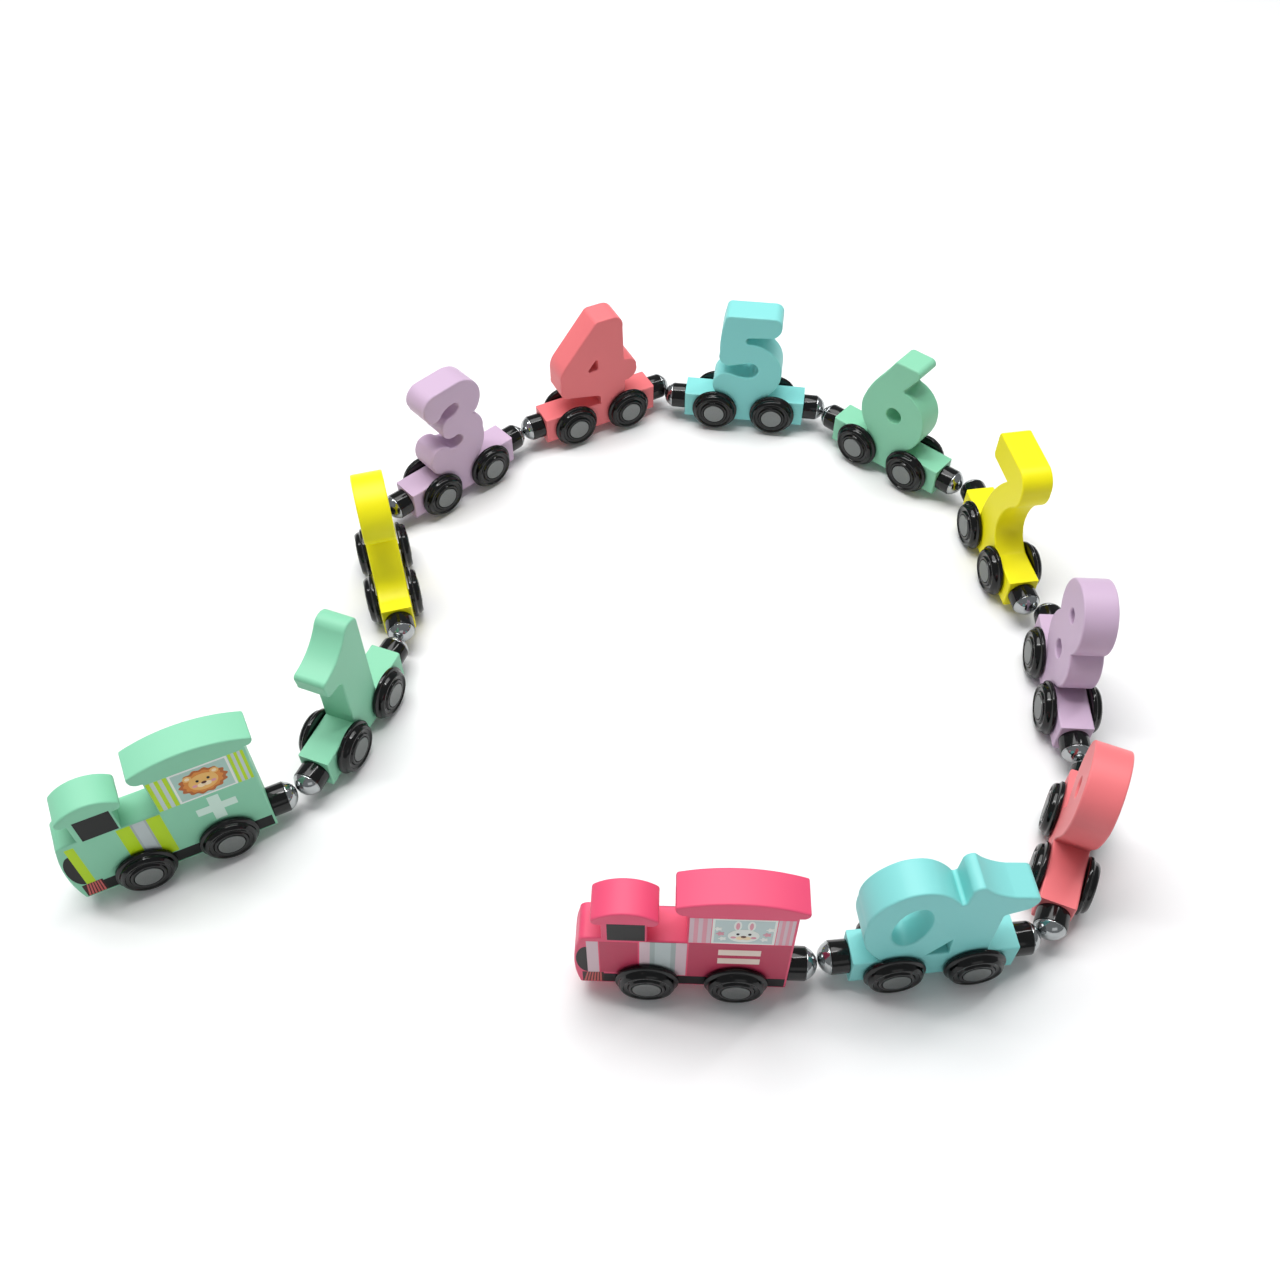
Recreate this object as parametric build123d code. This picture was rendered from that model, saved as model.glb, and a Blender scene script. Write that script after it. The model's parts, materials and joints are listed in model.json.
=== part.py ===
"""A wooden number train: ten number cars between two engines, coupled by domed magnets.

Millimetres, +Z up. Each vehicle is drawn in its own frame first: X points to its front, Y to its
left, Z is up from the floor, and the origin is on the floor midway between its two axles. The
twelve vehicles are then set out in a horseshoe, and the whole train is centred on its own box.
"""

import os
from math import acos, cos, radians, sin

from build123d import *

# Boards
BOARD = 14.5  # thickness of every sawn board
BASE_LENGTH = 64.0  # base block under a digit
BASE_BOTTOM = 5.0
BASE_TOP = 20.0
ROOT = 18.0  # a digit's outline runs this far down into its base block
ENGINE_REAR = 36.0  # from the middle of the axles to the back of the engine's block

# Wheels and axles
WHEEL_RADIUS = 12.0  # over the flange, which runs on the floor
TREAD_RADIUS = 10.7
CAR_WHEELBASE = 31.0
ENGINE_WHEELBASE = 33.4
AXLE_RADIUS = 1.5
AXLE_CLEARANCE = 0.08  # all round, between the steel axle and its bore in the wood
WHEEL_GAP = 0.5  # between the wood and the wheel
WHEEL_WIDTH = 4.6
CAP_RADIUS = 5.4  # steel head on each end of an axle
CAP_THICKNESS = 1.1
OUTER_FACE = BOARD / 2 + WHEEL_GAP + WHEEL_WIDTH + 0.4  # outside of the steel head

# Couplers
COUPLER_HEIGHT = 12.5  # axis above the floor
FERRULE_RADIUS = 6.5
FERRULE_LENGTH = 7.2
FERRULE_FLOOR = 2.2
MAGNET_RADIUS = 5.4
RIM_RADIUS = 6.25
RIM_THICKNESS = 0.5
DOME_RADIUS = 6.5  # of the sphere
DOME_REACH = 5.2  # from the wood's end to the middle of the dome's sphere
DOME_GAP = 0.25  # left between two coupled domes
PIN_RADIUS = 1.2
PIN_LENGTH = 12.0
PIN_IN_WOOD = 9.0

CAR_REACH = BASE_LENGTH / 2 + DOME_REACH  # from a car's middle to the middle of its dome's sphere
ENGINE_REACH = ENGINE_REAR + DOME_REACH
DOME_PITCH = 2 * DOME_RADIUS + DOME_GAP  # between two coupled domes' sphere middles

# The horseshoe: each vehicle's heading, and the direction in which the next vehicle's dome lies
# from this one's rear dome, in degrees. The last vehicle is turned round, nose away from the train.
TRAIN = (
    ("mint_engine", 206, 41),
    ("car_1", 249, 83),
    ("car_2", 286, 45),
    ("car_3", 223, 38),
    ("car_4", 207, 328),
    ("car_5", 172, 322),
    ("car_6", 138, 324),
    ("car_7", 99, 314),
    ("car_8", 87, 276),
    ("car_9", 67, 207),
    ("car_10", 6, 191),
    ("pink_engine", 178, None),
)

# Board outlines, read from the vehicle's left side: across to the right (towards its rear), then
# up. A plain pair ends a straight edge; a pair of pairs is the middle and the end of an arc.
DIGITS = {
    "car_1": [
        (-9, ROOT), (-9, 45.5), ((-9.8, 48.4), (-12.5, 49.4)), (-16.6, 49.9),
        ((-18.7, 50.9), (-19.3, 53)), (-19.8, 57), ((-19.3, 59), (-17.3, 59.7)),
        ((-7.5, 62.6), (0, 69)), ((3.8, 71.6), (7.6, 71)), ((9.6, 69.6), (10.2, 67)), (10.2, ROOT),
    ],
    "car_2": [
        (-26, ROOT), (-26, BASE_TOP), ((-19.8, 22.4), (-14.8, 28.2)), ((-10, 34.8), (-4.5, 40.5)),
        ((-1.5, 44.5), (-3, 48.6)),
        ((-5.8, 50), (-8.8, 48.4)), ((-15.4, 48.6), (-18, 55)), ((-1.5, 72.6), (16, 57.5)),
        ((14.2, 46), (7.6, 36.4)), ((7.4, 34.2), (9.4, 33.2)), (13.5, 33), ((16.3, 31.8), (17, 29)),
        (17, ROOT),
    ],
    "car_3": [
        (-8, ROOT), (-10.5, 21.5), ((-18.2, 31), (-15.5, 38.2)), ((-11, 39.2), (-7, 37.6)),
        ((-1, 35.2), (2.2, 38)), ((1.4, 40.6), (-2, 41.7)), ((-7.6, 43.6), (-8.9, 47.6)),
        ((-8.2, 51.6), (-5.2, 54)), ((-1.2, 54.8), (2.2, 57.6)), ((1.8, 60.6), (-1, 61.4)),
        ((-5.5, 60.3), (-8.2, 58)), ((-13.2, 56.2), (-17, 60.5)), ((-17.2, 67.5), (-11, 72)),
        (3.5, 72.6), ((14.6, 65.5), (14.2, 53.6)), ((12.7, 51.3), (10.2, 49.8)),
        ((14.2, 45.5), (15.2, 38.5)), ((14, 28), (8.5, 20.5)), (7.5, ROOT),
    ],
    "car_4": [
        (0, ROOT), (0, 24.4), (-1.4, 25.6), (-18, 29.8), ((-21.5, 31.6), (-22.4, 35.5)),
        (-22.4, 42), ((-21.6, 47), (-19.2, 50.8)), (-2.2, 71.3), ((-0.7, 72.4), (1.5, 72.6)),
        (8, 72.6), ((12.5, 70.3), (13.8, 65)), (14.3, 44.2), (17.5, 43.6),
        ((20.5, 41.7), (21.5, 38)), ((20.7, 33), (17.5, 30.6)), (14.6, 30), (14.6, ROOT),
    ],
    "car_5": [
        (-13.5, ROOT), (-15, 22), ((-17.4, 28), (-15.2, 34)), ((-11.8, 36), (-7, 35.4)),
        ((-3.3, 34.2), (0.5, 33.8)), ((4.9, 35.8), (6.2, 39)), ((4.6, 42.4), (0.5, 43.6)),
        ((-4, 42.2), (-9, 40.8)), ((-13.2, 42.4), (-14.6, 48)), ((-14.4, 60), (-12.9, 69)),
        ((-11.8, 71.4), (-9.5, 72)), (12, 72.3), ((15.2, 70.9), (16.4, 67.5)),
        ((15.8, 63.4), (13.2, 60.4)), (0, 59.2), ((-1.4, 57.4), (0.2, 55.4)),
        ((10.5, 52.2), (17, 44.7)), ((18.3, 34), (13, 23.5)), (11.5, ROOT),
    ],
    "car_6": [
        (-11.3, ROOT), (-12.3, 24.5), ((-17.4, 34), (-16.6, 45)), ((-12.6, 55), (-8, 62)),
        (-3.8, 69.8), ((-2.5, 71.5), (-0.6, 72)), (9, 72.2), ((11, 71), (11.4, 68.5)),
        (5.1, 58.5), ((4.7, 57.2), (5.8, 56.2)), ((16.5, 49), (19, 40)), ((17.6, 31), (12.5, 22.5)),
        (11.5, ROOT),
    ],
    "car_7": [
        (-13, ROOT), ((-9.2, 39.5), (1.6, 57.4)), (-13.8, 57.6), ((-15.8, 58.4), (-16.5, 60.4)),
        (-16.5, 69.9), ((-15.7, 71.7), (-13.9, 72.3)), (8, 72.3), ((15, 69.4), (17.4, 62.4)),
        ((16.5, 56), (12.2, 50.8)), ((6.4, 42), (4.6, 33)), ((6.8, 25.4), (14, BASE_TOP)), (14, ROOT),
    ],
    "car_8": [
        (-7.5, ROOT), (-10, 21.5), ((-17.5, 33.5), (-12.8, 46)), ((0, 72.6), (12.8, 46)),
        ((17.5, 33.5), (10, 21.5)), (7.5, ROOT),
    ],
    "car_9": [
        (-9, ROOT), (-9.8, 22.5), (-3.9, 32.8), ((-3.5, 34.1), (-4.6, 35.2)),
        ((-15.3, 42.4), (-17.8, 53)), ((0, 72.6), (17.9, 52)), ((14.4, 39), (9, 28.5)),
        (5.2, 21.5), (4.5, ROOT),
    ],
    "car_10": [
        (20, ROOT), (23, 22.5), ((30.3, 37), (31.2, 49)), ((28.5, 62.5), (20.5, 70.6)),
        ((14, 72.2), (7.5, 70.4)), ((3, 66.6), (-0.6, 61.8)), ((-1.7, 61), (-2.8, 61.8)),
        (-3.2, 69), ((-4.6, 71.8), (-7.4, 72.2)), ((-13, 66.8), (-20.5, 62.8)), (-27.5, 61.3),
        ((-29.6, 60.1), (-30, 57.8)), ((-28.6, 54.2), (-25.2, 51.8)), (-20.6, 50),
        ((-19.4, 49.2), (-19.1, 47.6)), (-19.1, ROOT),
    ],
}
ENGINE = [
    (ENGINE_REAR, 6), (ENGINE_REAR, 62.8), (37.6, 62.9), ((39.3, 64.3), (39.4, 66.8)),
    ((17, 72.6), (-6.8, 68.6)), ((-7, 65.2), (-4.4, 62.6)), (-2.6, 62.4), (-2.6, 42.2),
    (-16.8, 42.2), (-16.8, 53.6), (-14.6, 53.6), ((-13.2, 54.8), (-13.1, 57.6)),
    ((-24.8, 62.8), (-36.6, 57.8)), ((-36.8, 55.2), (-35.2, 53.8)), (-33.4, 53.8), (-33.4, 43.8),
    (-38.8, 43.6), ((-40.9, 42.7), (-41.8, 40.4)), ((-43.8, 24), (-42.3, 7.4)),
    ((-41.8, 6.3), (-40.8, 6)),
]


def outline(points):
    """The face inside a closed outline given in the form described above DIGITS."""
    here = points[0]
    edges = []
    for step in points[1:]:
        if isinstance(step[0], tuple):
            edges.append(ThreePointArc(here, *step))
            here = step[1]
        else:
            edges.append(Line(here, step))
            here = step
    edges.append(Line(here, points[0]))
    return make_face(edges)


def eyes(name):
    """The openings sawn through a digit, or None for a digit without any."""
    return {
        "car_4": outline([
            (-6.1, 44), ((-6, 43), (-5.2, 42.7)), (-2.2, 42.9), ((-1.2, 43.3), (-0.9, 44.3)),
            (-1.1, 48), ((-1.7, 48.9), (-2.6, 48.4)),
        ]),
        "car_6": Pos(1.5, 40) * Circle(4.3),
        "car_8": Pos(0, 56.5) * Circle(3.2) + Pos(0, 34.8) * Circle(4.2),
        "car_9": Pos(0, 52.6) * Circle(4.3),
        "car_10": Pos(14, 46.3) * Rot(0, 0, 4) * Ellipse(7, 14)
        + outline([(-3.3, 33), (4.5, 22), (-4, 22)]),
    }.get(name)


def sawn(face):
    """A board of that face, upright along the vehicle and centred on its middle line."""
    left_side = Plane(origin=(0, -BOARD / 2, 0), x_dir=(-1, 0, 0), z_dir=(0, 1, 0))
    return extrude(left_side * face, amount=BOARD)


def lengthwise(radius, start, end, height=COUPLER_HEIGHT):
    """A round bar along X."""
    bar = Cylinder(radius, end - start, align=(Align.CENTER, Align.CENTER, Align.MIN))
    return Pos(start, 0, height) * Rot(0, 90, 0) * bar


def crosswise(radius, length):
    """A round bar along Y, at axle height and centred on the middle line."""
    return Pos(0, 0, WHEEL_RADIUS) * Rot(90, 0, 0) * Cylinder(radius, length)


def drilled(board, wheelbase, ends):
    """The board with its two axle bores, and a pin hole in each end that has a coupler."""
    for x in (wheelbase / 2, -wheelbase / 2):
        board -= Pos(x, 0, 0) * crosswise(AXLE_RADIUS + AXLE_CLEARANCE, BOARD + 2)
    for end in ends:
        near, far = sorted((end, end - PIN_IN_WOOD * (1 if end > 0 else -1)))
        board -= lengthwise(PIN_RADIUS, near, far)
    return board


def number_board(name):
    """A number car's body: the digit and its base block, sawn from one board."""
    middle = (BASE_TOP + BASE_BOTTOM) / 2
    face = outline(DIGITS[name]) + Pos(0, middle) * Rectangle(BASE_LENGTH, BASE_TOP - BASE_BOTTOM)
    if eyes(name):
        face -= eyes(name)
    return drilled(sawn(face), CAR_WHEELBASE, (BASE_LENGTH / 2, -BASE_LENGTH / 2))


def engine_board():
    """An engine's body: nose, small cab, hood and long rear cab in one block."""
    return drilled(sawn(outline(ENGINE)), ENGINE_WHEELBASE, (-ENGINE_REAR,))


def at_ends(piece, ends):
    """Copies of a coupler piece, drawn for a wood end at X = 0 that faces forwards."""
    return [Pos(end, 0, 0) * Rot(0, 0, 0 if end > 0 else 180) * piece for end in ends]


def ferrule():
    """Plastic cup that holds a magnet against the wood's end."""
    section = outline([
        (0, PIN_RADIUS + 0.1), (0, FERRULE_RADIUS), (FERRULE_LENGTH - 0.4, FERRULE_RADIUS),
        (FERRULE_LENGTH, FERRULE_RADIUS - 0.4), (FERRULE_LENGTH, MAGNET_RADIUS + 0.1),
        (FERRULE_FLOOR, MAGNET_RADIUS + 0.1), (FERRULE_FLOOR, PIN_RADIUS + 0.1),
    ])
    return Pos(0, 0, COUPLER_HEIGHT) * revolve(section, Axis.X)


def magnet():
    """Chromed magnet: a plug in the ferrule, a thin rim on it and a domed face."""
    face = FERRULE_LENGTH + RIM_THICKNESS
    pin_end = PIN_LENGTH - PIN_IN_WOOD
    edge = acos((face - DOME_REACH) / DOME_RADIUS)
    shoulder = (face, DOME_RADIUS * sin(edge))
    crown = (DOME_REACH + DOME_RADIUS * cos(edge / 2), DOME_RADIUS * sin(edge / 2))
    section = outline([
        (FERRULE_FLOOR, PIN_RADIUS), (FERRULE_FLOOR, MAGNET_RADIUS), (FERRULE_LENGTH, MAGNET_RADIUS),
        (FERRULE_LENGTH, RIM_RADIUS), (face, RIM_RADIUS), shoulder,
        (crown, (DOME_REACH + DOME_RADIUS, 0)), (pin_end, 0), (pin_end, PIN_RADIUS),
    ])
    return Pos(0, 0, COUPLER_HEIGHT) * revolve(section, Axis.X)


def pin():
    """Steel pin that nails the magnet and its ferrule to the wood."""
    return lengthwise(PIN_RADIUS, -PIN_IN_WOOD, PIN_LENGTH - PIN_IN_WOOD)


def wheel():
    """Flanged plastic wheel on the left side: flange against the wood, dished face outside."""
    inner = BOARD / 2 + WHEEL_GAP
    outer = inner + WHEEL_WIDTH
    seat = OUTER_FACE - CAP_THICKNESS
    section = outline([
        (AXLE_RADIUS, inner), (WHEEL_RADIUS - 0.4, inner), (WHEEL_RADIUS, inner + 0.4),
        (WHEEL_RADIUS, inner + 1.5), ((WHEEL_RADIUS - 0.3, inner + 1.9), (TREAD_RADIUS + 0.3, inner + 2)),
        (TREAD_RADIUS, inner + 2.3), (TREAD_RADIUS - 0.2, outer - 1.2),
        ((TREAD_RADIUS - 0.6, outer - 0.3), (TREAD_RADIUS - 1.5, outer)), (8.8, outer - 0.1),
        ((7.9, outer - 0.9), (7, outer - 0.5)), (6.7, outer), (6.2, outer + 0.2),
        (CAP_RADIUS + 0.1, outer + 0.2), (CAP_RADIUS + 0.1, seat), (AXLE_RADIUS, seat),
    ])
    return Pos(0, 0, WHEEL_RADIUS) * revolve(section, Axis.Y)


def axle():
    """Steel axle with a flat round head on each end."""
    head = Pos(0, 0, WHEEL_RADIUS) * Rot(-90, 0, 0) * Cylinder(CAP_RADIUS, CAP_THICKNESS)
    rim = head.edges().filter_by(GeomType.CIRCLE).sort_by(Axis.Y)[-1]
    head = Pos(0, OUTER_FACE - CAP_THICKNESS / 2, 0) * chamfer(rim, 0.35)
    rod = crosswise(AXLE_RADIUS, 2 * (OUTER_FACE - CAP_THICKNESS))
    return rod + head + mirror(head, Plane.XZ)


def wheelset(x):
    """Two wheels pressed on one axle, at a place along the vehicle."""
    left = wheel()
    return [Pos(x, 0, 0) * piece for piece in (left, mirror(left, Plane.XZ), axle())]


def vehicle(name):
    """A vehicle's nodes in its own frame: the solids of each, by the node's last name."""
    engine = name.endswith("engine")
    wheelbase = ENGINE_WHEELBASE if engine else CAR_WHEELBASE
    ends = (-ENGINE_REAR,) if engine else (BASE_LENGTH / 2, -BASE_LENGTH / 2)
    return {
        "body": [engine_board() if engine else number_board(name)],
        "couplers": at_ends(ferrule(), ends),
        "magnets": at_ends(magnet(), ends) + at_ends(pin(), ends),
        "front_wheels": wheelset(wheelbase / 2),
        "rear_wheels": wheelset(-wheelbase / 2),
    }


def ahead(heading, distance):
    """The step of that length in the direction of a heading."""
    return Vector(distance * cos(radians(heading)), distance * sin(radians(heading)))


def places():
    """Each vehicle's middle, before the train is centred. The first one's is the origin."""
    spots = {}
    front_dome = ahead(TRAIN[0][1], CAR_REACH)
    for name, heading, to_next in TRAIN:
        if name == TRAIN[-1][0]:
            spots[name] = front_dome + ahead(heading, ENGINE_REACH)
        else:
            spots[name] = front_dome - ahead(heading, CAR_REACH)
            reach = ENGINE_REACH if name == TRAIN[0][0] else CAR_REACH
            rear_dome = spots[name] - ahead(heading, reach)
            front_dome = rear_dome + ahead(to_next, DOME_PITCH)
    return spots


def train():
    """Every node of the train, set out in the horseshoe and centred on its box."""
    spots = places()
    nodes = {}
    for name, heading, _ in TRAIN:
        spot = Pos(spots[name].X, spots[name].Y, 0) * Rot(0, 0, heading)
        for part, solids in vehicle(name).items():
            nodes[f"{name}_{part}"] = Compound([spot * solid for solid in solids])
    box = Compound(list(nodes.values())).bounding_box()
    middle = (box.min + box.max) / 2
    shift = Vector(-middle.X, -middle.Y, -box.min.Z)
    return {node: Pos(*shift) * solids for node, solids in nodes.items()}, shift


NODES, SHIFT = train()
os.makedirs("parts", exist_ok=True)
for node_name, shape in NODES.items():
    export_step(shape, f"parts/{node_name}.step")
print(len(NODES), "nodes, shifted by", tuple(round(value, 3) for value in SHIFT))
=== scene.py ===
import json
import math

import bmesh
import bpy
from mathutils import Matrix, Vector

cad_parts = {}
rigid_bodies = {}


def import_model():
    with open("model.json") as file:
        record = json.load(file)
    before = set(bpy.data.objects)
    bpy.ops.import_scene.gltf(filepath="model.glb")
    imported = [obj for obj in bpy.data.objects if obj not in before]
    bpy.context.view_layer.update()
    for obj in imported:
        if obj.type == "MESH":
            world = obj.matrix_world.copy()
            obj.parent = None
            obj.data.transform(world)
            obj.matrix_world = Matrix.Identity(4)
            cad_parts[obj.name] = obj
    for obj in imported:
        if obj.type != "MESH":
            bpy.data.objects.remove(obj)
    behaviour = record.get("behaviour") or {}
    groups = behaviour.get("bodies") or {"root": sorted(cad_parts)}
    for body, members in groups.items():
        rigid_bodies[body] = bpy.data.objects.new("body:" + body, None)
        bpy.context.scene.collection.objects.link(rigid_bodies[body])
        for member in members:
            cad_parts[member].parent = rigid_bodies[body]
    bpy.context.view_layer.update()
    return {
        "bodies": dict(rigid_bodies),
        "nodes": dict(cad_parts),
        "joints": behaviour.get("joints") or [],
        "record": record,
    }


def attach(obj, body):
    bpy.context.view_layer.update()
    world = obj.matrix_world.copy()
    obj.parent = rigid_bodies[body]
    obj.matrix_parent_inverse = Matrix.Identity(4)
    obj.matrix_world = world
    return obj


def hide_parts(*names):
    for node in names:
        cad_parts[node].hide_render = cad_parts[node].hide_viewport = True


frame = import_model()

# %% [markdown]
# # A wooden number train
#
# Ten number cars and two engines stand in a curve, joined by magnets with chromed domes. Every
# vehicle is one sawn and painted board with turned pieces on it: wheels, axles and couplers.
# So this lesson has two main recipes. A board is an outline with rounded rims, and a turned piece
# is a profile spun round an axis. The frame holds each piece's real place and size, and everything
# below starts from it.

MM = 0.001


# %% [markdown]
# ## Where each vehicle stands
#
# A vehicle's two axles give its place: their midpoint is its middle, and the line from the rear
# axle to the front one is its heading. Each board is drawn in the vehicle's own frame, X forward
# and Z up, and one matrix then puts it where it stands.

# %% Find every vehicle's middle and heading
def axle_place(body):
    """The point in the middle of a wheelset, from the hinge it turns on."""
    return Vector(next(joint["pos_m"] for joint in frame["joints"] if joint["child"] == body))


vehicles = {}
for body in frame["bodies"]:
    if f"{body}_front_wheels" in frame["bodies"]:
        front, rear = (axle_place(f"{body}_{end}_wheels") for end in ("front", "rear"))
        ahead = (front - rear).normalized()
        middle = (front + rear) / 2
        vehicles[body] = {
            "middle": Vector((middle.x, middle.y, 0)),
            "heading": math.atan2(ahead.y, ahead.x),
            "is_engine": body.endswith("engine"),
        }
print(len(vehicles), "vehicles:", ", ".join(vehicles))

# %% [markdown]
# ## One way to add a node
#
# Materials and Geometry Nodes trees are both graphs of nodes. Writing them by hand takes three
# lines a node, so one helper makes a node, sets its options, and fills its inputs with either a
# plain value or another node's output. Two small ones beside it start an empty material and turn
# a hex colour into the linear values that shaders expect.

# %% Helpers for materials, nodes and colours
def new_material(name):
    """An empty node material, and its tree."""
    material = bpy.data.materials.new(name)
    material.use_nodes = True
    material.node_tree.nodes.clear()
    return material, material.node_tree


def add(tree, kind, inputs=None, **options):
    """A new node of that kind. An input is a value, or another node's output to link."""
    node = tree.nodes.new(kind)
    for option, value in options.items():
        setattr(node, option, value)
    for key, value in (inputs or {}).items():
        if isinstance(value, bpy.types.NodeSocket):
            tree.links.new(value, node.inputs[key])
        else:
            node.inputs[key].default_value = value
    return node


def linear(hex_colour, alpha=1.0):
    """An sRGB hex colour as the linear values that shaders work in."""
    channels = [int(hex_colour[i:i + 2], 16) / 255 for i in (1, 3, 5)]
    return (*[c / 12.92 if c <= 0.04045 else ((c + 0.055) / 1.055) ** 2.4 for c in channels], alpha)


print("mid grey in linear light:", [round(channel, 3) for channel in linear("#808080")[:3]])

# %% [markdown]
# ## Painted wood
#
# Each board is sawn from close-grained wood such as beech or basswood, sanded, and sprayed with a
# water-based toy lacquer. The lacquer is opaque, so no grain colour shows. What the eye sees is a
# satin skin with small faults: a faint ripple from the spray, grain that telegraphs through as
# shallow lines along the board, blade marks across the sawn edges, and colour a touch paler where
# it thins over the rims. That paler rim is also a painted highlight, standing in for the light that
# a rounded rim catches. An image could carry these, but noise does it at any scale, and its size
# can be stated in millimetres. The patterns read attributes that hold each point's place in its own
# board and what the point lies on, so that they follow the board whichever way it stands.

# %% Make the painted wood
SPRAY_RIPPLE = 1.6  # mm between the crests of the lacquer's ripple
GRAIN_PITCH = 0.9  # mm between grain lines, a little coarser than beech's so that they show
GRAIN_ALONG = 0.06  # how often a line changes along the grain, as a share of across it
BLADE_PITCH = 1.3  # mm between the blade's marks on a sawn edge
BLADE_ALONG = 0.03  # how often a mark changes along itself, as a share of across it
BLOTCH = 26.0  # mm across a paler patch
RIM_WEAR_AND_HIGHLIGHT = 9.0  # mm between the paler stretches along a rim: thinner lacquer and painted highlight
MARKS_SHARE = 0.6  # of the relief that is grain or blade marks; the rest is ripple
LACQUER_RELIEF = 0.08  # mm between the relief's lowest and highest points
SATIN = (0.38, 0.52)  # roughness, from the glossiest to the dullest spot
LACQUER_IOR = 1.48  # typical of an acrylic


def painted_wood(name, colour, pale):
    """Satin lacquer over sanded wood in one colour, paler on thin patches and as a painted rim highlight."""
    material, tree = new_material(name)

    place = add(tree, "ShaderNodeAttribute", attribute_name="board_mm").outputs["Vector"]
    on_edge = add(tree, "ShaderNodeAttribute", attribute_name="sawn_edge").outputs["Fac"]
    on_rim = add(tree, "ShaderNodeAttribute", attribute_name="rim").outputs["Fac"]
    blotch = add(tree, "ShaderNodeTexNoise", {"Vector": place, "Scale": 1 / BLOTCH, "Detail": 3.0})
    thin = add(tree, "ShaderNodeMapRange", {
        "Value": blotch.outputs["Fac"], "From Min": 0.35, "From Max": 0.75})
    # paler stretches on the rims: partly thinner lacquer, partly a painted highlight where a rim catches
    # light
    rim_wear_and_highlight = add(tree, "ShaderNodeTexNoise", {"Vector": place, "Scale": 1 / RIM_WEAR_AND_HIGHLIGHT, "Detail": 4.0})
    rim = add(tree, "ShaderNodeMath", {0: on_rim, 1: rim_wear_and_highlight.outputs["Fac"]}, operation="MULTIPLY")
    # the paler tone shows on thin patches, and on the rims also as painted highlight
    pallor_and_highlight = add(tree, "ShaderNodeMath", {0: thin.outputs[0], 1: rim.outputs[0]}, operation="MAXIMUM")
    tone = add(tree, "ShaderNodeMix", {
        0: pallor_and_highlight.outputs[0], 6: linear(colour), 7: linear(pale)}, data_type="RGBA")
    ripple = add(tree, "ShaderNodeTexNoise", {"Vector": place, "Scale": 1 / SPRAY_RIPPLE, "Detail": 1.0})
    lines = add(tree, "ShaderNodeMapping", {"Vector": place, "Scale": (GRAIN_ALONG, 1, 1)})
    grain = add(tree, "ShaderNodeTexNoise", {
        "Vector": lines.outputs[0], "Scale": 1 / GRAIN_PITCH, "Detail": 4.0})
    across = add(tree, "ShaderNodeMapping", {"Vector": place, "Scale": (1, BLADE_ALONG, 1)})
    blade = add(tree, "ShaderNodeTexNoise", {
        "Vector": across.outputs[0], "Scale": 1 / BLADE_PITCH, "Detail": 3.0})
    marks = add(tree, "ShaderNodeMix", {0: on_edge, 2: grain.outputs["Fac"], 3: blade.outputs["Fac"]})
    relief = add(tree, "ShaderNodeMix", {0: MARKS_SHARE, 2: ripple.outputs["Fac"], 3: marks.outputs[0]})
    bump = add(tree, "ShaderNodeBump", {
        "Height": relief.outputs[0], "Strength": 0.35, "Distance": LACQUER_RELIEF * MM})
    rough = add(tree, "ShaderNodeMapRange", {
        "Value": ripple.outputs["Fac"], "To Min": SATIN[0], "To Max": SATIN[1]})
    shader = add(tree, "ShaderNodeBsdfPrincipled", {
        "Base Color": tone.outputs[2], "Roughness": rough.outputs[0], "IOR": LACQUER_IOR,
        "Specular IOR Level": 0.35, "Normal": bump.outputs[0],
    })
    add(tree, "ShaderNodeOutputMaterial", {"Surface": shader.outputs[0]})
    return material


# each second colour is the paler tone: for thin patches, and for the painted highlight on the rims
lacquers = {
    "mint": painted_wood("mint_lacquer_on_wood", "#7CC4A0", "#94D6B5"),
    "yellow": painted_wood("yellow_lacquer_on_wood", "#F0E400", "#F4EC10"),
    "lilac": painted_wood("lilac_lacquer_on_wood", "#BFA3BF", "#D0B9D0"),
    "coral": painted_wood("coral_lacquer_on_wood", "#E5696E", "#EE8689"),
    "aqua": painted_wood("aqua_lacquer_on_wood", "#74C9C6", "#97E3E0"),
    "pink": painted_wood("pink_lacquer_on_wood", "#DD3C66", "#EE6485"),
}
print("lacquers:", ", ".join(lacquers))

# %% [markdown]
# ## Rounded boards
#
# The maker saws the outline with a thin blade, then runs a rounding bit round both rims. In
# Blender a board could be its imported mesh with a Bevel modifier, but a bevel on an outline of
# many short edges pinches where they meet. A flat curve does what the router does: it takes the
# outline and its holes, fills them, gives them thickness, and rounds the rims evenly. So each
# board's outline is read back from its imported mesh, as the loops round its flat left face.

# %% Read a board's outline from the frame
PAINT_OF = {part["node"]: part["material_slot"] for part in frame["record"]["subparts"]}
PACKED_WELD = 0.002 * MM  # packed points nearer than this are one
ON_FACE = 0.01 * MM  # a point nearer than this to the left face lies on it


def board_loops(node, to_board):
    """The loops round a board's left face, in the vehicle's own X and Z, and half its thickness."""
    mesh = bmesh.new()
    mesh.from_mesh(frame["nodes"][node].data)
    mesh.transform(to_board)
    bmesh.ops.remove_doubles(mesh, verts=mesh.verts, dist=PACKED_WELD)
    left = max(vert.co.y for vert in mesh.verts)
    face = {f for f in mesh.faces if all(left - vert.co.y < ON_FACE for vert in f.verts)}
    rim = {edge for edge in mesh.edges if sum(f in face for f in edge.link_faces) == 1}
    loops = []
    while rim:
        edge = rim.pop()
        start, here = edge.verts
        loop = [start, here]
        while here is not start:
            edge = next(e for e in here.link_edges if e in rim)
            rim.remove(edge)
            here = edge.other_vert(here)
            loop.append(here)
        loops.append([(vert.co.x, vert.co.z) for vert in loop[:-1]])
    mesh.free()
    return loops, left


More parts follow.
